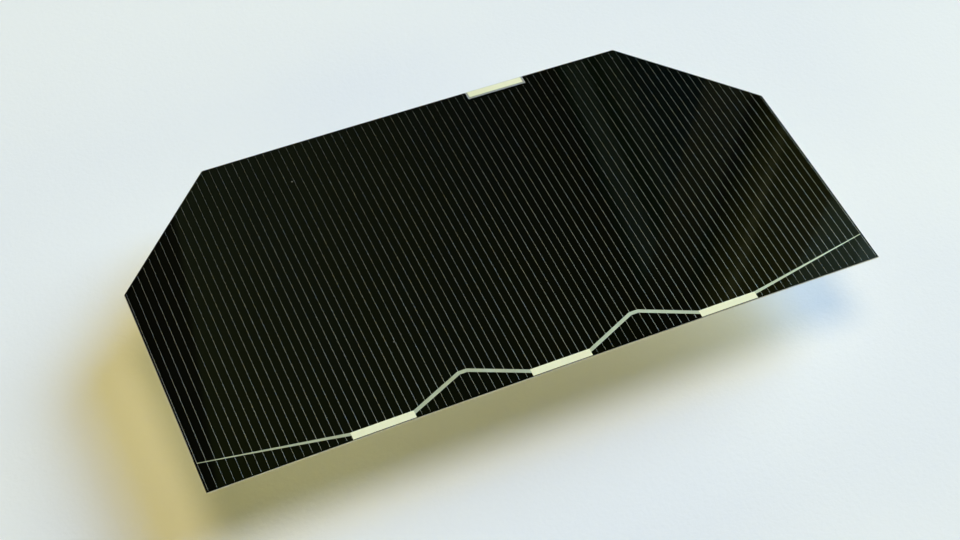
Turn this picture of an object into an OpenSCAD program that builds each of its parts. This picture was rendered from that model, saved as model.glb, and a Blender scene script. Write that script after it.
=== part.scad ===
// Bare multi-junction solar cell on a germanium wafer.
// Millimetres, +Z is the sun side, +X runs along the straight long edge.
// The origin is under the middle of the cell, on its rear face.

/* [Cell outline] */
// Length of the straight long edge
cell_l = 80; // [70:1:100]
// Width from the straight edge to the cropped edge
cell_w = 40; // [36:1:50]
// Corner crop, measured along each side
crop = 13.5; // [8:0.5:16]
// Bare wafer margin left around the etched layers
mesa_margin = 0.05; // [0.03:0.01:0.08]

/* [Layer thicknesses] */
// Rear silver contact
rear_contact_t = 0.008; // [0.004:0.001:0.02]
// Seed metal between the wafer and the rear contact
rear_seed_t = 0.003; // [0.002:0.001:0.006]
// Germanium wafer, which is also the bottom cell
wafer_t = 0.14; // [0.08:0.01:0.2]
// Nucleation layer, where the crystal growth starts
nucleation_t = 0.002; // [0.002:0.001:0.004]
// Buffer layer
buffer_t = 0.004; // [0.002:0.001:0.008]
// Each tunnel junction
tunnel_t = 0.002; // [0.002:0.001:0.004]
// Middle cell
middle_cell_t = 0.004; // [0.002:0.001:0.008]
// Top cell
top_cell_t = 0.003; // [0.002:0.001:0.006]
// Window layer
window_t = 0.002; // [0.002:0.001:0.004]
// Antireflection coating
coating_t = 0.002; // [0.001:0.001:0.004]
// Contact cap under all front metal
cap_t = 0.004; // [0.003:0.001:0.006]
// Front metal
metal_t = 0.008; // [0.004:0.001:0.015]

/* [Grid fingers] */
// Number of fingers, an even number
finger_count = 86; // [70:2:100]
// Width of a finger
finger_w = 0.022; // [0.01:0.001:0.04]
// Width of the contact cap strip under a finger
cap_strip_w = 0.032; // [0.02:0.001:0.05]
// Distance of the outermost fingers from the cell's short edges
finger_side_gap = 0.26; // [0.2:0.01:0.4]
// Gap between a finger's end and the cell's edge
finger_end_gap = 0.18; // [0.12:0.01:0.3]

/* [Pads] */
// Length of a contact pad along the edge
pad_l = 7.1; // [5:0.1:8]
// Depth of a contact pad
pad_w = 0.88; // [0.6:0.02:1.2]
// Gap between a pad and the cell's edge
pad_edge_gap = 0.1; // [0.09:0.01:0.2]
// Distance between neighbouring front pads, in finger pitches
pad_pitches = 22; // [20:2:24]

/* [Busbars] */
// Height of a busbar's outer end above the straight edge
bus_high = 3.6; // [2.5:0.1:5]
// Width of a busbar's outer end
bus_tip_w = 0.08; // [0.05:0.01:0.2]
// Width of a busbar where it meets a pad
bus_root_w = 0.36; // [0.2:0.02:0.6]
// Height of an arch's flat top above the straight edge
arch_high = 3.65; // [2.5:0.05:5]
// Length of an arch's flat top
arch_flat = 1.05; // [0.6:0.05:2]
// Width of an arch's strip
arch_w = 0.42; // [0.2:0.02:0.6]

/* [Bypass diode] */
// Distance from the cell's middle to the diode pad, in finger pitches
diode_pitches = 11; // [6:1:20]
// Depth of the diode pad
diode_pad_w = 0.85; // [0.6:0.05:1.2]
// Island left around the diode pad
island_margin = 0.07; // [0.05:0.01:0.12]
// Width of the trench that isolates the diode
trench_w = 0.14; // [0.08:0.01:0.3]
// Finger-free strip beside the trench
clear_strip = 0.36; // [0.2:0.02:0.8]

/* [Hidden] */

// Half sizes of the cell
half_l = cell_l / 2;
half_w = cell_w / 2;

// Finger and pad places along the cell
finger_pitch = (cell_l - 2 * finger_side_gap) / (finger_count - 1);
outer_finger_x = half_l - finger_side_gap;
pad_x = pad_pitches * finger_pitch;
diode_x = diode_pitches * finger_pitch;

// Heights of the layers' lower faces
z_seed = rear_contact_t;
z_wafer = z_seed + rear_seed_t;
z_nucleation = z_wafer + wafer_t;
z_buffer = z_nucleation + nucleation_t;
z_lower_tunnel = z_buffer + buffer_t;
z_middle_cell = z_lower_tunnel + tunnel_t;
z_upper_tunnel = z_middle_cell + middle_cell_t;
z_top_cell = z_upper_tunnel + tunnel_t;
z_window = z_top_cell + top_cell_t;
z_front = z_window + window_t;
z_metal = z_front + cap_t;

// Front edges of the metal, measured from the cell's middle
pad_y0 = -half_w + pad_edge_gap;
pad_y1 = pad_y0 + pad_w;
diode_pad_y1 = half_w - pad_edge_gap + 0.03;
diode_pad_y0 = diode_pad_y1 - diode_pad_w;
island_y0 = diode_pad_y0 - island_margin;
trench_y0 = island_y0 - trench_w;
diode_finger_y = trench_y0 - clear_strip;
island_half_l = pad_l / 2 + island_margin;

// Slope of an arch's two legs, and the upright width of a sloping strip
arch_run = pad_x / 2 - pad_l / 2 - arch_flat / 2;
arch_rise = arch_high - pad_edge_gap - pad_w;
arch_slope = arch_rise / arch_run;
arch_leg_w = arch_w * sqrt(1 + arch_slope * arch_slope);
// How much shorter the arch's flat is on its inner side, at each end
arch_inner_step = (arch_leg_w - arch_w) / arch_slope;

// Outline of the cell, moved inwards by a margin
function outline(margin) =
    let (
        x = half_l - margin,
        y = half_w - margin,
        c = crop - margin * (2 - sqrt(2))
    )
    [[-x, -y], [x, -y], [x, y - c], [x - c, y], [c - x, y], [-x, y - c]];

function finger_x(i) = (i - (finger_count - 1) / 2) * finger_pitch;

// Highest point of a finger: the cropped edge, the slanted corner or the diode, whichever is lower
function finger_top(x) =
    let (
        edge = half_w - finger_end_gap,
        slant = half_w - crop + half_l - abs(x) - sqrt(2) * finger_end_gap,
        diode = abs(x - diode_x) < island_half_l + trench_w ? diode_finger_y : edge
    )
    min(edge, slant, diode);

module layer(z, t) {
    translate([0, 0, z]) linear_extrude(height = t) children();
}

// Everything grown on the wafer stops at the mesa's edge and at the trench round the diode
module mesa_shape() {
    difference() {
        polygon(outline(mesa_margin));
        translate([diode_x - island_half_l - trench_w, trench_y0])
            square([2 * (island_half_l + trench_w), half_w - trench_y0 + 1]);
    }
}

module island_shape() {
    translate([diode_x - island_half_l, island_y0])
        square([2 * island_half_l, half_w - mesa_margin - island_y0]);
}

module pad_shape(x) {
    translate([x - pad_l / 2, pad_y0]) square([pad_l, pad_w]);
}

module diode_pad_shape() {
    translate([diode_x - pad_l / 2, diode_pad_y0]) square([pad_l, diode_pad_w]);
}

// Tapered busbar from the outermost finger down to the upper corner of the right pad
module busbar_shape() {
    x0 = pad_x + pad_l / 2;
    y1 = -half_w + bus_high;
    polygon([
        [x0, pad_y1],
        [x0, pad_y1 - bus_root_w],
        [outer_finger_x, y1 - bus_tip_w / 2],
        [outer_finger_x, y1 + bus_tip_w / 2]
    ]);
}

// Arch between the centre pad and the right pad
module arch_shape() {
    x0 = pad_l / 2;
    x1 = pad_x / 2 - arch_flat / 2;
    x2 = pad_x - x1;
    x3 = pad_x - x0;
    y1 = -half_w + arch_high;
    polygon([
        [x0, pad_y1],
        [x1, y1],
        [x2, y1],
        [x3, pad_y1],
        [x3, pad_y1 - arch_leg_w],
        [x2 - arch_inner_step, y1 - arch_w],
        [x1 + arch_inner_step, y1 - arch_w],
        [x0, pad_y1 - arch_leg_w]
    ]);
}

module busbar_shapes() {
    for (side = [0, 1]) mirror([side, 0]) {
        busbar_shape();
        arch_shape();
    }
    for (x = [-pad_x, 0, pad_x]) pad_shape(x);
}

module finger_shapes(w) {
    for (i = [0 : finger_count - 1]) {
        x = finger_x(i);
        y0 = -half_w + finger_end_gap;
        translate([x - w / 2, y0]) square([w, finger_top(x) - y0]);
    }
}

module rear_contact() {
    color("#b9b7ae") layer(0, rear_contact_t) polygon(outline(0));
}

module rear_seed_layer() {
    color("#b98f3c") layer(z_seed, rear_seed_t) polygon(outline(0));
}

module germanium_wafer() {
    color("#8d8d85") layer(z_wafer, wafer_t) polygon(outline(0));
}

module nucleation_layer() {
    color("#55524a") layer(z_nucleation, nucleation_t) mesa_shape();
}

module buffer_layer() {
    color("#4c4a46") layer(z_buffer, buffer_t) mesa_shape();
}

module lower_tunnel_junction() {
    color("#43403c") layer(z_lower_tunnel, tunnel_t) mesa_shape();
}

module middle_cell() {
    color("#3a3836") layer(z_middle_cell, middle_cell_t) mesa_shape();
}

module upper_tunnel_junction() {
    color("#343230") layer(z_upper_tunnel, tunnel_t) mesa_shape();
}

module top_cell() {
    color("#2c2a2a") layer(z_top_cell, top_cell_t) mesa_shape();
}

module window_layer() {
    color("#262626") layer(z_window, window_t) mesa_shape();
}

module antireflection_coating() {
    color("#171b17") layer(z_front, coating_t) difference() {
        mesa_shape();
        finger_shapes(cap_strip_w);
        busbar_shapes();
    }
}

module finger_cap_strips() {
    color("#5a5650") layer(z_front, cap_t) difference() {
        finger_shapes(cap_strip_w);
        busbar_shapes();
    }
}

module busbar_cap_strips() {
    color("#5a5650") layer(z_front, cap_t) busbar_shapes();
}

module grid_fingers() {
    color("#c9cbbb") layer(z_metal, metal_t) difference() {
        finger_shapes(finger_w);
        busbar_shapes();
    }
}

module left_busbar() {
    color("#c2c6b0") layer(z_metal, metal_t) mirror([1, 0]) busbar_shape();
}

module right_busbar() {
    color("#c2c6b0") layer(z_metal, metal_t) busbar_shape();
}

module left_arch() {
    color("#c2c6b0") layer(z_metal, metal_t) mirror([1, 0]) arch_shape();
}

module right_arch() {
    color("#c2c6b0") layer(z_metal, metal_t) arch_shape();
}

module left_pad() {
    color("#d4d7b8") layer(z_metal, metal_t) pad_shape(-pad_x);
}

module centre_pad() {
    color("#d4d7b8") layer(z_metal, metal_t) pad_shape(0);
}

module right_pad() {
    color("#d4d7b8") layer(z_metal, metal_t) pad_shape(pad_x);
}

module bypass_diode() {
    color("#35332f") layer(z_nucleation, z_front - z_nucleation) island_shape();
}

module bypass_diode_cap() {
    color("#5a5650") layer(z_front, cap_t) diode_pad_shape();
}

module bypass_diode_pad() {
    color("#d4d7b8") layer(z_metal, metal_t) diode_pad_shape();
}

rear_contact();
rear_seed_layer();
germanium_wafer();
nucleation_layer();
buffer_layer();
lower_tunnel_junction();
middle_cell();
upper_tunnel_junction();
top_cell();
window_layer();
antireflection_coating();
finger_cap_strips();
busbar_cap_strips();
grid_fingers();
left_busbar();
right_busbar();
left_arch();
right_arch();
left_pad();
centre_pad();
right_pad();
bypass_diode();
bypass_diode_cap();
bypass_diode_pad();
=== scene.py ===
"""A bare multi-junction solar cell, held a little above a sheet of white paper."""

import math

import bmesh
import bpy
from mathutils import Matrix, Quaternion, Vector, noise


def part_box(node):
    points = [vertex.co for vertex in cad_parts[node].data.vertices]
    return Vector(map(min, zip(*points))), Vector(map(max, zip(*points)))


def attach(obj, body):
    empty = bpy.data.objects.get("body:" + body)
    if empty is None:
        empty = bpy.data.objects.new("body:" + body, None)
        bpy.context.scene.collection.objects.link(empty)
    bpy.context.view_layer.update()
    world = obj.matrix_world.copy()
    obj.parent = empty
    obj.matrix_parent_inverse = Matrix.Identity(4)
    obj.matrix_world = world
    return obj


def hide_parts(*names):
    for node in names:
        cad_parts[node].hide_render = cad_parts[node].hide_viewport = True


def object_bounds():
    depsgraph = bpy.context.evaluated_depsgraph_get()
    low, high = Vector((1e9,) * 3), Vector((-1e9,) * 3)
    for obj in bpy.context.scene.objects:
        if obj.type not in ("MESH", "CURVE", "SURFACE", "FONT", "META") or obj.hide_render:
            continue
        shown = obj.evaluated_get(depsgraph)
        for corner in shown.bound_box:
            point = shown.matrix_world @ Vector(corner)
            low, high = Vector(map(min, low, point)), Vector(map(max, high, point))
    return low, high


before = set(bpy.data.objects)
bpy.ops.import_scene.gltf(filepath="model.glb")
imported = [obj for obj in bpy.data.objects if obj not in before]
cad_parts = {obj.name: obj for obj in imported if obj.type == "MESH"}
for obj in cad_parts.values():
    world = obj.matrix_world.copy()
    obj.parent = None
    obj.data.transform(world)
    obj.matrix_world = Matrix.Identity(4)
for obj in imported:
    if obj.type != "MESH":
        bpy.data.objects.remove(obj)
cad_low, cad_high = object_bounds()

MM = 0.001
BODY = "root"

# The camera, by where it aims and how far round, up and over it stands
CAMERA_LENS = 66.97
CAMERA_AIM = Vector((-2.93, -4.93, 0.43)) * MM
CAMERA_DISTANCE = 197.4 * MM
CAMERA_AZIMUTH = math.radians(-29.27)
CAMERA_ELEVATION = math.radians(52.45)
CAMERA_ROLL = math.radians(5.78)

# The cell is slightly domed towards the sun, by these heights over its length and its width, in mm
SAG_LENGTH = 0.257
SAG_WIDTH = 0.134

# How far the paper lies below the cell
PAPER_GAP = 12.2 * MM

# Pieces that bend with the cell are cut into steps of this length, in mm
BEND_STEP = 4.0
# Vertices nearer than this are one vertex, in mm
MERGE = 1e-5
# Faces that meet at more than this angle keep a sharp edge between them
SHARP_ANGLE = math.radians(12)

# How far the upper edges of the busbars and pads, and of the fingers, are rounded, in mm
METAL_ROUNDING = 0.004
FINGER_ROUNDING = 0.002

# The fingers' spacing in mm, and their width at the far end and below a busbar, as a share
FINGER_PITCH = 0.935
FINGER_FAR_END = 0.16
FINGER_BELOW_BAR = 0.56

# The wafer's side wall is drawn with points this far apart along it, in mm, and with these rows
# up it: the share of its height, and how far it is worn back there, in mm
WALL_STEP = 0.35
WALL_ROWS = ((0.0, 0.012), (0.08, 0.003), (0.35, 0.0), (0.65, 0.0), (0.92, 0.003), (1.0, 0.012))

# The stage, in metres: half the paper's side, how far off the lights are, how far off the first
# card is, and how much nearer each next one is. A card has this many steps each way.
PAPER_HALF = 0.9
LIGHT_DISTANCE = 2.5
CARD_DISTANCE = 0.6
CARD_GAP = 0.01
CARD_STEPS = 8


# Shapes. Every mesh is worked on in mm and turned into metres when it becomes an object.


def cad_shape(node):
    """The closed mesh of a CAD node, in mm, with its flat faces whole again."""
    shape = bmesh.new()
    shape.from_mesh(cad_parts[node].data)
    bmesh.ops.scale(shape, vec=(1000, 1000, 1000), verts=shape.verts)
    bmesh.ops.remove_doubles(shape, verts=shape.verts, dist=MERGE)
    bmesh.ops.dissolve_limit(
        shape, angle_limit=math.radians(0.5), verts=shape.verts, edges=shape.edges
    )
    return shape


def cut_across(shape, axis, step):
    """Cuts a mesh into slices of about one step along an axis, so that it can bend."""
    places = [v.co[axis] for v in shape.verts]
    low, high = min(places), max(places)
    count = max(1, round((high - low) / step))
    normal = [0, 0, 0]
    normal[axis] = 1
    for i in range(1, count):
        point = [0, 0, 0]
        point[axis] = low + (high - low) * i / count
        parts = [*shape.verts, *shape.edges, *shape.faces]
        bmesh.ops.bisect_plane(
            shape, geom=parts, dist=MERGE, plane_co=point, plane_no=normal
        )


def cut_both_ways(shape):
    """Cuts a mesh into steps along its length and its width."""
    cut_across(shape, 0, BEND_STEP)
    cut_across(shape, 1, BEND_STEP)


def bend(shape):
    """Raises a flat mesh into the cell's shallow dome, which comes down to zero at its corners."""
    half_length, half_width = cad_high.x / MM, cad_high.y / MM
    for v in shape.verts:
        fall_x = SAG_LENGTH * (v.co.x / half_length) ** 2
        fall_y = SAG_WIDTH * (v.co.y / half_width) ** 2
        v.co.z += SAG_LENGTH + SAG_WIDTH - fall_x - fall_y


def top_edges(shape):
    """The edges where a flat top meets the side walls."""
    top = max(v.co.z for v in shape.verts)
    found = []
    for e in shape.edges:
        level = all(abs(v.co.z - top) < MERGE for v in e.verts)
        if level and len(e.link_faces) == 2 and e.calc_face_angle() > 1:
            found.append(e)
    return found


def round_top(shape, radius):
    """Rounds the upper edges of a flat-topped mesh."""
    bmesh.ops.bevel(
        shape,
        geom=top_edges(shape),
        offset=radius,
        segments=2,
        profile=0.5,
        affect="EDGES",
        clamp_overlap=True,
    )


def add_piece(name, shape, material, node):
    """Bends a mesh to the cell's dome and puts it in place of a CAD node."""
    bend(shape)
    bmesh.ops.scale(shape, vec=(MM, MM, MM), verts=shape.verts)
    bmesh.ops.recalc_face_normals(shape, faces=shape.faces)
    mesh = bpy.data.meshes.new(name)
    shape.to_mesh(mesh)
    shape.free()
    mesh.materials.append(material)
    mesh.shade_smooth()
    mesh.set_sharp_from_angle(angle=SHARP_ANGLE)
    piece = bpy.data.objects.new(name, mesh)
    bpy.context.scene.collection.objects.link(piece)
    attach(piece, BODY)
    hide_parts(node)
    return piece


# Materials


def new_material(name):
    material = bpy.data.materials.new(name)
    material.use_nodes = True
    nodes, links = material.node_tree.nodes, material.node_tree.links
    return material, nodes, links, nodes["Principled BSDF"]


def texture_place(nodes, links, stretch=(1, 1, 1), turn=(0, 0, 0)):
    place = nodes.new("ShaderNodeTexCoord")
    mapping = nodes.new("ShaderNodeMapping")
    mapping.inputs["Scale"].default_value = stretch
    mapping.inputs["Rotation"].default_value = turn
    links.new(place.outputs["Object"], mapping.inputs["Vector"])
    return mapping.outputs["Vector"]


def noise_field(nodes, links, place, size_mm, detail, rough=0.5, twist=0.0):
    """A noise value whose blobs are about size_mm across."""
    field = nodes.new("ShaderNodeTexNoise")
    field.inputs["Scale"].default_value = 1 / (size_mm * MM)
    field.inputs["Detail"].default_value = detail
    field.inputs["Roughness"].default_value = rough
    field.inputs["Distortion"].default_value = twist
    links.new(place, field.inputs["Vector"])
    return field.outputs["Fac"]


def colour_steps(nodes, links, value, steps):
    """Turns a value into a colour, by (position, colour) steps."""
    ramp = nodes.new("ShaderNodeValToRGB")
    stops = ramp.color_ramp.elements
    while len(stops) < len(steps):
        stops.new(0.5)
    for stop, (position, colour) in zip(stops, steps):
        stop.position = position
        stop.color = (*colour, 1)
    links.new(value, ramp.inputs["Fac"])
    return ramp.outputs["Color"]


def spread(nodes, links, value, low, high, start=0.3, end=0.7):
    """Stretches a value from start..end to low..high."""
    mapped = nodes.new("ShaderNodeMapRange")
    mapped.inputs["From Min"].default_value = start
    mapped.inputs["From Max"].default_value = end
    mapped.inputs["To Min"].default_value = low
    mapped.inputs["To Max"].default_value = high
    links.new(value, mapped.inputs["Value"])
    return mapped.outputs["Result"]


def mixed(nodes, links, factor, a, b):
    """Mixes two colours. Each of the three may be a number or colour, or a node's output."""
    mix = nodes.new("ShaderNodeMix")
    mix.data_type = "RGBA"
    for socket, value in (("Factor", factor), ("A", a), ("B", b)):
        target = [s for s in mix.inputs if s.name == socket and s.enabled][0]
        if isinstance(value, bpy.types.NodeSocket):
            links.new(value, target)
        elif socket == "Factor":
            target.default_value = value
        else:
            target.default_value = (*value, 1)
    return [s for s in mix.outputs if s.enabled][0]


def bumped(nodes, links, shader, height, depth_mm):
    bump = nodes.new("ShaderNodeBump")
    bump.inputs["Distance"].default_value = depth_mm * MM
    bump.inputs["Strength"].default_value = 1
    links.new(height, bump.inputs["Height"])
    links.new(bump.outputs["Normal"], shader.inputs["Normal"])


def metal_material(name, pale, dark, tarnish, roughness, metallic):
    """Evaporated metal: a fine grain, cloudy tone and faint warm tarnish."""
    grain_mm = 0.03
    material, nodes, links, shader = new_material(name)
    place = texture_place(nodes, links)
    cloud = noise_field(nodes, links, place, 1.6, detail=4)
    grain = noise_field(nodes, links, place, grain_mm, detail=2)
    stain = noise_field(nodes, links, place, 5.0, detail=5, rough=0.6)
    tone = colour_steps(nodes, links, cloud, [(0.3, dark), (0.7, pale)])
    stained = spread(nodes, links, stain, 0.0, 0.6, 0.45, 0.75)
    links.new(mixed(nodes, links, stained, tone, tarnish), shader.inputs["Base Color"])
    shader.inputs["Metallic"].default_value = metallic
    links.new(
        spread(nodes, links, cloud, roughness - 0.06, roughness + 0.06),
        shader.inputs["Roughness"],
    )
    bumped(nodes, links, shader, grain, grain_mm * 0.12)
    return material


def coating_material():
    """Near-black, glass-smooth coating with a few specks. Its faint olive and blue tone, stretched
    into bands, is painted reflection of the room laid over the coating's own near-black colour.
    """
    material, nodes, links, shader = new_material("coating_dark")
    place = texture_place(nodes, links)
    # Painted reflection: the olive and blue bands, stretched along the cell's width, stand in for
    # the room's reflected bands. The darkest stop is the coating's own near-black.
    painted_band_place = texture_place(nodes, links, stretch=(1, 0.15, 1))
    painted_reflection_drift = noise_field(nodes, links, painted_band_place, 14.0, detail=2)
    coating_and_painted_reflection = colour_steps(
        nodes,
        links,
        painted_reflection_drift,
        [
            (0.35, (0.0006, 0.0009, 0.0010)),
            (0.50, (0.0010, 0.0012, 0.0005)),
            (0.65, (0.0014, 0.0016, 0.0006)),
        ],
    )
    dust = nodes.new("ShaderNodeTexVoronoi")
    dust.voronoi_dimensions = "2D"
    dust.inputs["Scale"].default_value = 1 / (30.0 * MM)
    links.new(place, dust.inputs["Vector"])
    speck = spread(nodes, links, dust.outputs["Distance"], 0.6, 0.0, 0.0015, 0.0035)
    specked = mixed(nodes, links, speck, coating_and_painted_reflection, (0.35, 0.34, 0.30))
    links.new(specked, shader.inputs["Base Color"])
    smear = noise_field(nodes, links, place, 9.0, detail=5, rough=0.6)
    links.new(spread(nodes, links, smear, 0.02, 0.04), shader.inputs["Roughness"])
    shader.inputs["IOR"].default_value = 1.42
    swell = noise_field(nodes, links, place, 18.0, detail=1)
    bumped(nodes, links, shader, swell, 0.004)
    return material


def wafer_material():
    """Ground and etched germanium side wall: pale grey with lines left by the saw."""
    material, nodes, links, shader = new_material("germanium_sawn")
    lines = texture_place(nodes, links, stretch=(0.02, 0.02, 1))
    place = texture_place(nodes, links)
    saw = noise_field(nodes, links, lines, 0.012, detail=2)
    patch = noise_field(nodes, links, place, 0.8, detail=4)
    pale = mixed(nodes, links, patch, (0.46, 0.46, 0.43), (0.56, 0.56, 0.53))
    lined = spread(nodes, links, saw, 0.0, 0.4)
    tone = mixed(nodes, links, lined, pale, (0.36, 0.36, 0.33))
    links.new(tone, shader.inputs["Base Color"])
    shader.inputs["Metallic"].default_value = 0.1
    links.new(spread(nodes, links, patch, 0.45, 0.65), shader.inputs["Roughness"])
    bumped(nodes, links, shader, saw, 0.003)
    return material


def layer_material(name, dark, light):
    """A grown semiconductor layer, whose thin edge is dark and glossy."""
    material, nodes, links, shader = new_material(name)
    place = texture_place(nodes, links)
    field = noise_field(nodes, links, place, 0.5, detail=4)
    links.new(mixed(nodes, links, field, dark, light), shader.inputs["Base Color"])
    links.new(spread(nodes, links, field, 0.2, 0.4), shader.inputs["Roughness"])
    bumped(nodes, links, shader, field, 0.001)
    return material


def rear_material():
    """Silver on the wafer's lapped rear: fine crossed scratches, clouds and yellowed patches."""
    material, nodes, links, shader = new_material("rear_silver_lapped")
    place = texture_place(nodes, links)
    lap_a = texture_place(nodes, links, stretch=(1, 0.03, 1), turn=(0, 0, math.radians(35)))
    lap_b = texture_place(nodes, links, stretch=(1, 0.03, 1), turn=(0, 0, math.radians(-20)))
    scratch_a = noise_field(nodes, links, lap_a, 0.12, detail=4, rough=0.65)
    scratch_b = noise_field(nodes, links, lap_b, 0.16, detail=4, rough=0.65)
    cloud = noise_field(nodes, links, place, 7.0, detail=6, rough=0.6, twist=0.4)
    clouded = spread(nodes, links, cloud, 0, 1)
    tone = mixed(nodes, links, clouded, (0.56, 0.55, 0.52), (0.74, 0.73, 0.70))
    stain = noise_field(nodes, links, place, 13.0, detail=6, rough=0.65)
    yellow = spread(nodes, links, stain, 0.0, 0.55, 0.52, 0.72)
    tone = mixed(nodes, links, yellow, tone, (0.68, 0.58, 0.38))
    fine = spread(nodes, links, scratch_a, 0.0, 0.35, 0.5, 0.75)
    scratched = mixed(nodes, links, fine, tone, (0.40, 0.39, 0.37))
    links.new(scratched, shader.inputs["Base Color"])
    shader.inputs["Metallic"].default_value = 0.9
    links.new(spread(nodes, links, scratch_b, 0.28, 0.48), shader.inputs["Roughness"])
    bumped(nodes, links, shader, scratch_a, 0.004)
    return material


def paper_material():
    material, nodes, links, shader = new_material("paper_white")
    place = texture_place(nodes, links)
    fibre = noise_field(nodes, links, place, 0.6, detail=5, rough=0.6)
    cloud = noise_field(nodes, links, place, 45.0, detail=2)
    tone = mixed(nodes, links, cloud, (0.80, 0.81, 0.81), (0.83, 0.84, 0.84))
    links.new(tone, shader.inputs["Base Color"])
    shader.inputs["Roughness"].default_value = 0.9
    shader.inputs["Specular IOR Level"].default_value = 0.2
    bumped(nodes, links, shader, fibre, 0.03)
    return material


# Pieces


def outline_points(step):
    """Points round the cell's outline, about one step apart, from the wafer's own corners."""
    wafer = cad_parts["germanium_wafer"].data
    corners = {(round(v.co.x / MM, 4), round(v.co.y / MM, 4)) for v in wafer.vertices}
    ring = sorted(corners, key=lambda p: math.atan2(p[1], p[0]))
    points = []
    for (x0, y0), (x1, y1) in zip(ring, ring[1:] + ring[:1]):
        count = max(1, round(math.hypot(x1 - x0, y1 - y0) / step))
        for i in range(count):
            t = i / count
            points.append(Vector((x0 + (x1 - x0) * t, y0 + (y1 - y0) * t, 0)))
    return points


def make_wafer(material, coated):
    """The wafer, with a sawn side wall that is a little uneven and chipped along both edges.
    The coating runs out over its ledge along the straight edge."""
    low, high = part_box("germanium_wafer")
    z0, z1 = low.z / MM, high.z / MM
    base = outline_points(WALL_STEP)
    count = len(base)
    shape = bmesh.new()
    rings = []
    for share, worn in WALL_ROWS:
        ring = []
        for i, p in enumerate(base):
            along = base[(i + 1) % count] - base[i - 1]
            inward = Vector((-along.y, along.x, 0)).normalized()
            z = z0 + (z1 - z0) * share
            uneven = 0.003 * (1 + noise.noise(Vector((p.x * 0.9, p.y * 0.9, share * 2))))
            chipping = noise.noise(Vector((p.x * 2.3, p.y * 2.3, 7 + 3 * round(share))))
            chip = max(0.0, chipping - 0.35)
            depth = worn + uneven + chip * (0.05 if worn > 0.01 else 0.012)
            ring.append(shape.verts.new((p.x + inward.x * depth, p.y + inward.y * depth, z)))
        rings.append(ring)
    for lower, upper in zip(rings, rings[1:]):
        for i in range(count):
            j = (i + 1) % count
            shape.faces.new((lower[i], lower[j], upper[j], upper[i]))
    shape.faces.new(rings[-1])
    shape.faces.new(rings[0][::-1])
    cut_both_ways(shape)
    wafer = add_piece("wafer_with_sawn_edge", shape, material, "germanium_wafer")
    wafer.data.materials.append(coated)
    for face in wafer.data.polygons:
        if face.normal.z > 0.9 and face.center.y < cad_low.y + BEND_STEP * MM:
            face.material_index = 1


def make_layer(name, node, material):
    """A thin layer that bends with the cell."""
    shape = cad_shape(node)
    cut_both_ways(shape)
    add_piece(name, shape, material, node)


def make_metal(name, node, material):
    """A busbar, arch or pad with softly rounded upper edges."""
    shape = cad_shape(node)
    cut_both_ways(shape)
    round_top(shape, METAL_ROUNDING)
    add_piece(name, shape, material, node)


def bar_height(x):
    """The lowest y, in mm, of a busbar or arch at x, or None beside the pads."""
    found = []
    for node in ("left_busbar", "right_busbar", "left_arch", "right_arch"):
        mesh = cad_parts[node].data
        for edge in mesh.edges:
            a, b = (mesh.vertices[i].co / MM for i in edge.vertices)
            if min(a.x, b.x) < x < max(a.x, b.x):
                found.append(a.y + (b.y - a.y) * (x - a.x) / (b.x - a.x))
    return min(found, default=None)


def make_fingers(material):
    """The finger ridges, which narrow away from the busbars and below them."""
    shape = cad_shape("grid_fingers")
    half_width = cad_high.y / MM
    cut_across(shape, 1, BEND_STEP)
    round_top(shape, FINGER_ROUNDING)
    base = min(v.co.z for v in shape.verts)
    bars = {}
    for v in shape.verts:
        column = math.floor(v.co.x / FINGER_PITCH)
        centre = (column + 0.5) * FINGER_PITCH
        if column not in bars:
            bars[column] = bar_height(centre)
        bar = bars[column]
        if bar is not None and v.co.y < bar:
            keep = FINGER_BELOW_BAR
        else:
            keep = 1 + (FINGER_FAR_END - 1) * (v.co.y + half_width) / (2 * half_width)
        v.co.x = centre + (v.co.x - centre) * keep
        v.co.z = base + (v.co.z - base) * keep
    add_piece("fingers", shape, material, "grid_fingers")


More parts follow.
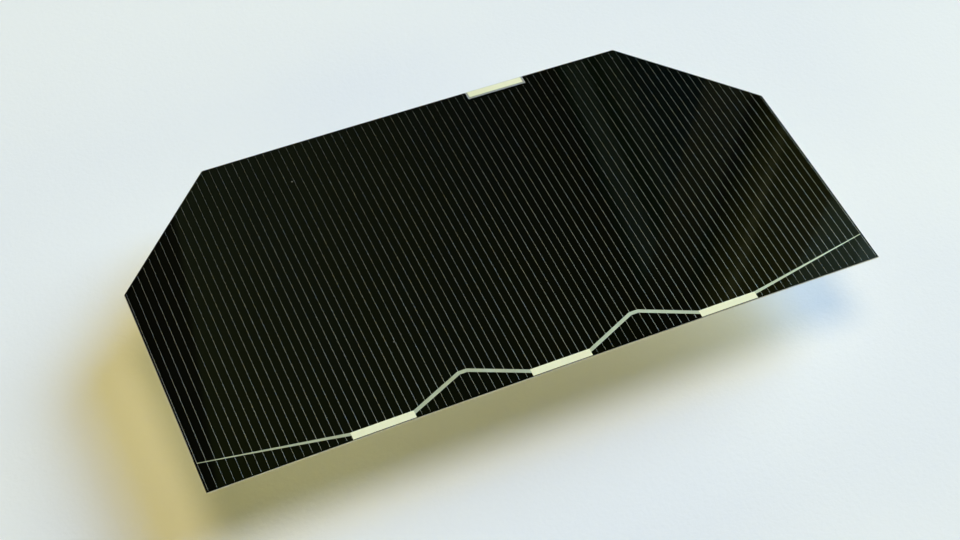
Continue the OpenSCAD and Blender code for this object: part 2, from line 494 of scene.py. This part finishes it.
def make_cell():
    coating = coating_material()
    germanium = wafer_material()
    rear = rear_material()
    seed = metal_material(
        "seed_gold",
        pale=(0.78, 0.62, 0.30),
        dark=(0.66, 0.50, 0.22),
        tarnish=(0.60, 0.42, 0.18),
        roughness=0.35,
        metallic=0.55,
    )
    cap = layer_material("cap_grey", (0.020, 0.019, 0.018), (0.045, 0.043, 0.040))
    grown = layer_material("grown_layers", (0.010, 0.010, 0.012), (0.03, 0.028, 0.026))
    pad = metal_material(
        "pad_silver_matte",
        pale=(0.85, 0.825, 0.565),
        dark=(0.81, 0.795, 0.53),
        tarnish=(0.82, 0.765, 0.485),
        roughness=0.68,
        metallic=0.12,
    )
    bar = metal_material(
        "busbar_silver_satin",
        pale=(0.555, 0.56, 0.35),
        dark=(0.49, 0.50, 0.31),
        tarnish=(0.50, 0.47, 0.26),
        roughness=0.45,
        metallic=0.4,
    )
    line = metal_material(
        "finger_silver_fine",
        pale=(0.72, 0.74, 0.64),
        dark=(0.63, 0.65, 0.56),
        tarnish=(0.64, 0.62, 0.48),
        roughness=0.42,
        metallic=0.4,
    )

    make_layer("rear_contact_silver", "rear_contact", rear)
    make_layer("rear_seed_gold", "rear_seed_layer", seed)
    make_wafer(germanium, grown)
    for node in (
        "nucleation_layer",
        "buffer_layer",
        "lower_tunnel_junction",
        "middle_cell",
        "upper_tunnel_junction",
        "top_cell",
        "window_layer",
        "bypass_diode",
    ):
        make_layer(node + "_skin", node, grown)
    make_layer("front_coating", "antireflection_coating", coating)
    make_layer("finger_caps", "finger_cap_strips", cap)
    make_layer("busbar_caps", "busbar_cap_strips", cap)
    make_layer("diode_cap", "bypass_diode_cap", cap)
    make_fingers(line)
    for side in ("left", "right"):
        make_metal(side + "_busbar_taper", side + "_busbar", bar)
        make_metal(side + "_arch_link", side + "_arch", bar)
        make_metal(side + "_weld_pad", side + "_pad", pad)
    make_metal("centre_weld_pad", "centre_pad", pad)
    make_metal("diode_weld_pad", "bypass_diode_pad", pad)


# Stage


def make_camera():
    data = bpy.data.cameras.new("camera")
    data.lens = CAMERA_LENS
    data.clip_start = 0.01
    data.clip_end = 20
    camera = bpy.data.objects.new("camera", data)
    back = Vector(
        (
            math.sin(CAMERA_AZIMUTH) * math.cos(CAMERA_ELEVATION),
            -math.cos(CAMERA_AZIMUTH) * math.cos(CAMERA_ELEVATION),
            math.sin(CAMERA_ELEVATION),
        )
    )
    camera.location = CAMERA_AIM + back * CAMERA_DISTANCE
    camera.rotation_mode = "QUATERNION"
    level = (-back).to_track_quat("-Z", "Y")
    camera.rotation_quaternion = level @ Quaternion((0, 0, 1), CAMERA_ROLL)
    bpy.context.scene.collection.objects.link(camera)
    bpy.context.scene.camera = camera


def make_paper():
    shape = bmesh.new()
    bmesh.ops.create_grid(shape, x_segments=40, y_segments=40, size=PAPER_HALF)
    mesh = bpy.data.meshes.new("paper")
    shape.to_mesh(mesh)
    shape.free()
    mesh.materials.append(paper_material())
    paper = bpy.data.objects.new("paper", mesh)
    paper.location = (0, 0, -PAPER_GAP)
    bpy.context.scene.collection.objects.link(paper)


def make_light(name, azimuth, elevation, size, colour, strength, mirrored_too=False):
    """A round soft light aimed at the cell. Azimuth 0 is behind the cell, and 90 to its right.
    Strength 1 makes a white surface that faces the light as bright as white."""
    data = bpy.data.lights.new(name, "AREA")
    data.shape = "DISK"
    data.size = size
    data.color = colour
    data.energy = strength * (math.pi * LIGHT_DISTANCE) ** 2
    lamp = bpy.data.objects.new(name, data)
    a, e = math.radians(azimuth), math.radians(elevation)
    towards = Vector((math.sin(a) * math.cos(e), math.cos(a) * math.cos(e), math.sin(e)))
    lamp.location = towards * LIGHT_DISTANCE
    lamp.rotation_mode = "QUATERNION"
    lamp.rotation_quaternion = towards.to_track_quat("Z", "Y")
    lamp.visible_camera = False
    lamp.visible_glossy = mirrored_too
    bpy.context.scene.collection.objects.link(lamp)


def make_world():
    """A pale horizon under a dim ceiling."""
    world = bpy.data.worlds.new("room")
    world.use_nodes = True
    nodes, links = world.node_tree.nodes, world.node_tree.links
    place = nodes.new("ShaderNodeTexCoord")
    split = nodes.new("ShaderNodeSeparateXYZ")
    links.new(place.outputs["Generated"], split.inputs["Vector"])
    colour = colour_steps(
        nodes,
        links,
        split.outputs["Z"],
        [
            (0.0, (0.82, 0.84, 0.85)),
            (0.11, (0.82, 0.83, 0.84)),
            (0.28, (0.12, 0.12, 0.11)),
            (0.44, (0.036, 0.034, 0.026)),
            (1.0, (0.030, 0.028, 0.018)),
        ],
    )
    links.new(colour, nodes["Background"].inputs["Color"])
    bpy.context.scene.world = world


def mirrored(x, y, distance):
    """The point, this far off, that the camera sees mirrored in the cell at x, y in mm."""
    slope_x = 2 * SAG_LENGTH * x / (cad_high.x / MM) ** 2
    slope_y = 2 * SAG_WIDTH * y / (cad_high.y / MM) ** 2
    normal = Vector((slope_x, slope_y, 1)).normalized()
    spot = Vector((x * MM, y * MM, cad_high.z))
    sight = (spot - bpy.context.scene.camera.location).normalized()
    return spot + sight.reflect(normal) * distance


def card_material():
    """A dim glow whose colour is stored on the card's corners."""
    material = bpy.data.materials.new("card_glow")
    material.use_nodes = True
    nodes, links = material.node_tree.nodes, material.node_tree.links
    nodes.remove(nodes["Principled BSDF"])
    tint = nodes.new("ShaderNodeVertexColor")
    tint.layer_name = "tint"
    glow = nodes.new("ShaderNodeEmission")
    links.new(tint.outputs["Color"], glow.inputs["Color"])
    links.new(glow.outputs["Emission"], nodes["Material Output"].inputs["Surface"])
    return material


def make_card(name, material, distance, corners, tints):
    """A dim card that shows only as a reflection. Corners are where it shows on the cell, in mm,
    and each has its tint."""
    shape = bmesh.new()
    layer = shape.loops.layers.float_color.new("tint")

    def between(values, i, j):
        s, t = i / CARD_STEPS, j / CARD_STEPS
        a, b, c, d = (Vector(v) for v in values)
        return a.lerp(b, s).lerp(d.lerp(c, s), t)

    grid = {}
    for j in range(CARD_STEPS + 1):
        for i in range(CARD_STEPS + 1):
            point = mirrored(*between(corners, i, j), distance)
            grid[i, j] = shape.verts.new(point)
    for j in range(CARD_STEPS):
        for i in range(CARD_STEPS):
            ring = ((i, j), (i + 1, j), (i + 1, j + 1), (i, j + 1))
            face = shape.faces.new([grid[place] for place in ring])
            for loop, place in zip(face.loops, ring):
                loop[layer] = (*between(tints, *place), 1)
    mesh = bpy.data.meshes.new(name)
    shape.to_mesh(mesh)
    shape.free()
    mesh.materials.append(material)
    card = bpy.data.objects.new(name, mesh)
    card.visible_camera = False
    card.visible_diffuse = False
    card.visible_shadow = False
    bpy.context.scene.collection.objects.link(card)


def make_cards():
    """The room that the glossy front mirrors: a wall, a window frame and slanting beams."""
    material = card_material()
    wall = ((0.14, 0.19, 0.10), (0.030, 0.035, 0.020), (0.017, 0.022, 0.003), (0.115, 0.15, 0.035))
    stripe, stripe_faint = (0.095, 0.155, 0.10), (0.060, 0.100, 0.065)
    pane = (0.024, 0.054, 0.048)
    beam, beam_end = (0.15, 0.18, 0.10), (0.025, 0.030, 0.005)
    olive, olive_far = (0.010, 0.020, 0.0), (0.17, 0.19, 0.04)
    beyond, beyond_far = (0.13, 0.15, 0.03), (0.20, 0.22, 0.07)
    bright = (0.30, 0.33, 0.12)
    dark = (0.012, 0.045, 0.018)
    teal, teal_far = (0.28, 0.40, 0.22), (0.50, 0.78, 0.62)
    streak, tip = (0.22, 0.34, 0.24), (0.9, 1.35, 1.25)
    olive_tints = (olive, olive_far, olive_far, olive)
    beyond_tints = (beyond, beyond_far, beyond_far, beyond)
    cards = (
        ("wall", ((-30, 21), (18.6, 21), (12, -21), (-39, -21)), wall),
        ("window_dark", ((18.6, 21), (30, 21), (23, -16), (12, -16)), (dark,) * 4),
        ("left_stripe", ((19.6, 21), (22.6, 21), (16.0, -16), (13.2, -16)), (stripe,) * 4),
        ("right_stripe", ((24.2, 21), (27.2, 21), (22.4, -5), (20.8, -6)), (stripe_faint,) * 4),
        ("pane", ((27.2, 21), (44.5, 21), (32, 8), (22.4, -4)), (pane,) * 4),
        ("beam", ((37.2, 14), (45.2, 14), (15.3, -18), (9.2, -18)), (beam,) * 2 + (beam_end,) * 2),
        ("olive", ((46.4, 14), (51.6, 14), (20.2, -19), (15.4, -19)), olive_tints),
        ("bright_beam", ((51.6, 14), (53.0, 14), (21.6, -19), (20.2, -19)), (bright,) * 4),
        ("olive_beyond", ((53.0, 14), (70, 10), (30, -24), (21.6, -19)), beyond_tints),
        ("teal", ((42, -8.4), (60, -8), (44, -32), (26.5, -21)), (teal, teal_far, teal_far, teal)),
        ("streak", ((44, -13.5), (45.6, -13.5), (33.8, -23), (32.6, -23)), (streak,) * 4),
        ("tip", ((40, -16.5), (50, -15), (46, -28), (36, -21)), (teal_far, tip, tip, teal_far)),
    )
    for i, (name, corners, tints) in enumerate(cards):
        make_card(name, material, CARD_DISTANCE - CARD_GAP * i, corners, tints)


def make_stage():
    make_camera()
    make_paper()
    make_world()
    make_cards()
    make_light("window", 78, 38, 1.85, (0.69, 0.85, 0.96), 0.72, True)
    make_light("sky", 89, 57, 1.5, (0.08, 0.35, 1.0), 0.52, True)
    make_light("ceiling", -128, 84, 1.15, (1.0, 0.80, 0.42), 0.39)
    # Low light from all round, as from walls
    for azimuth in (-135, -45, 45, 135):
        make_light("wall_%d" % azimuth, azimuth, 14, 1.1, (1.0, 0.89, 0.13), 0.24)
    bpy.context.scene.view_settings.view_transform = "Standard"


make_stage()
make_cell()
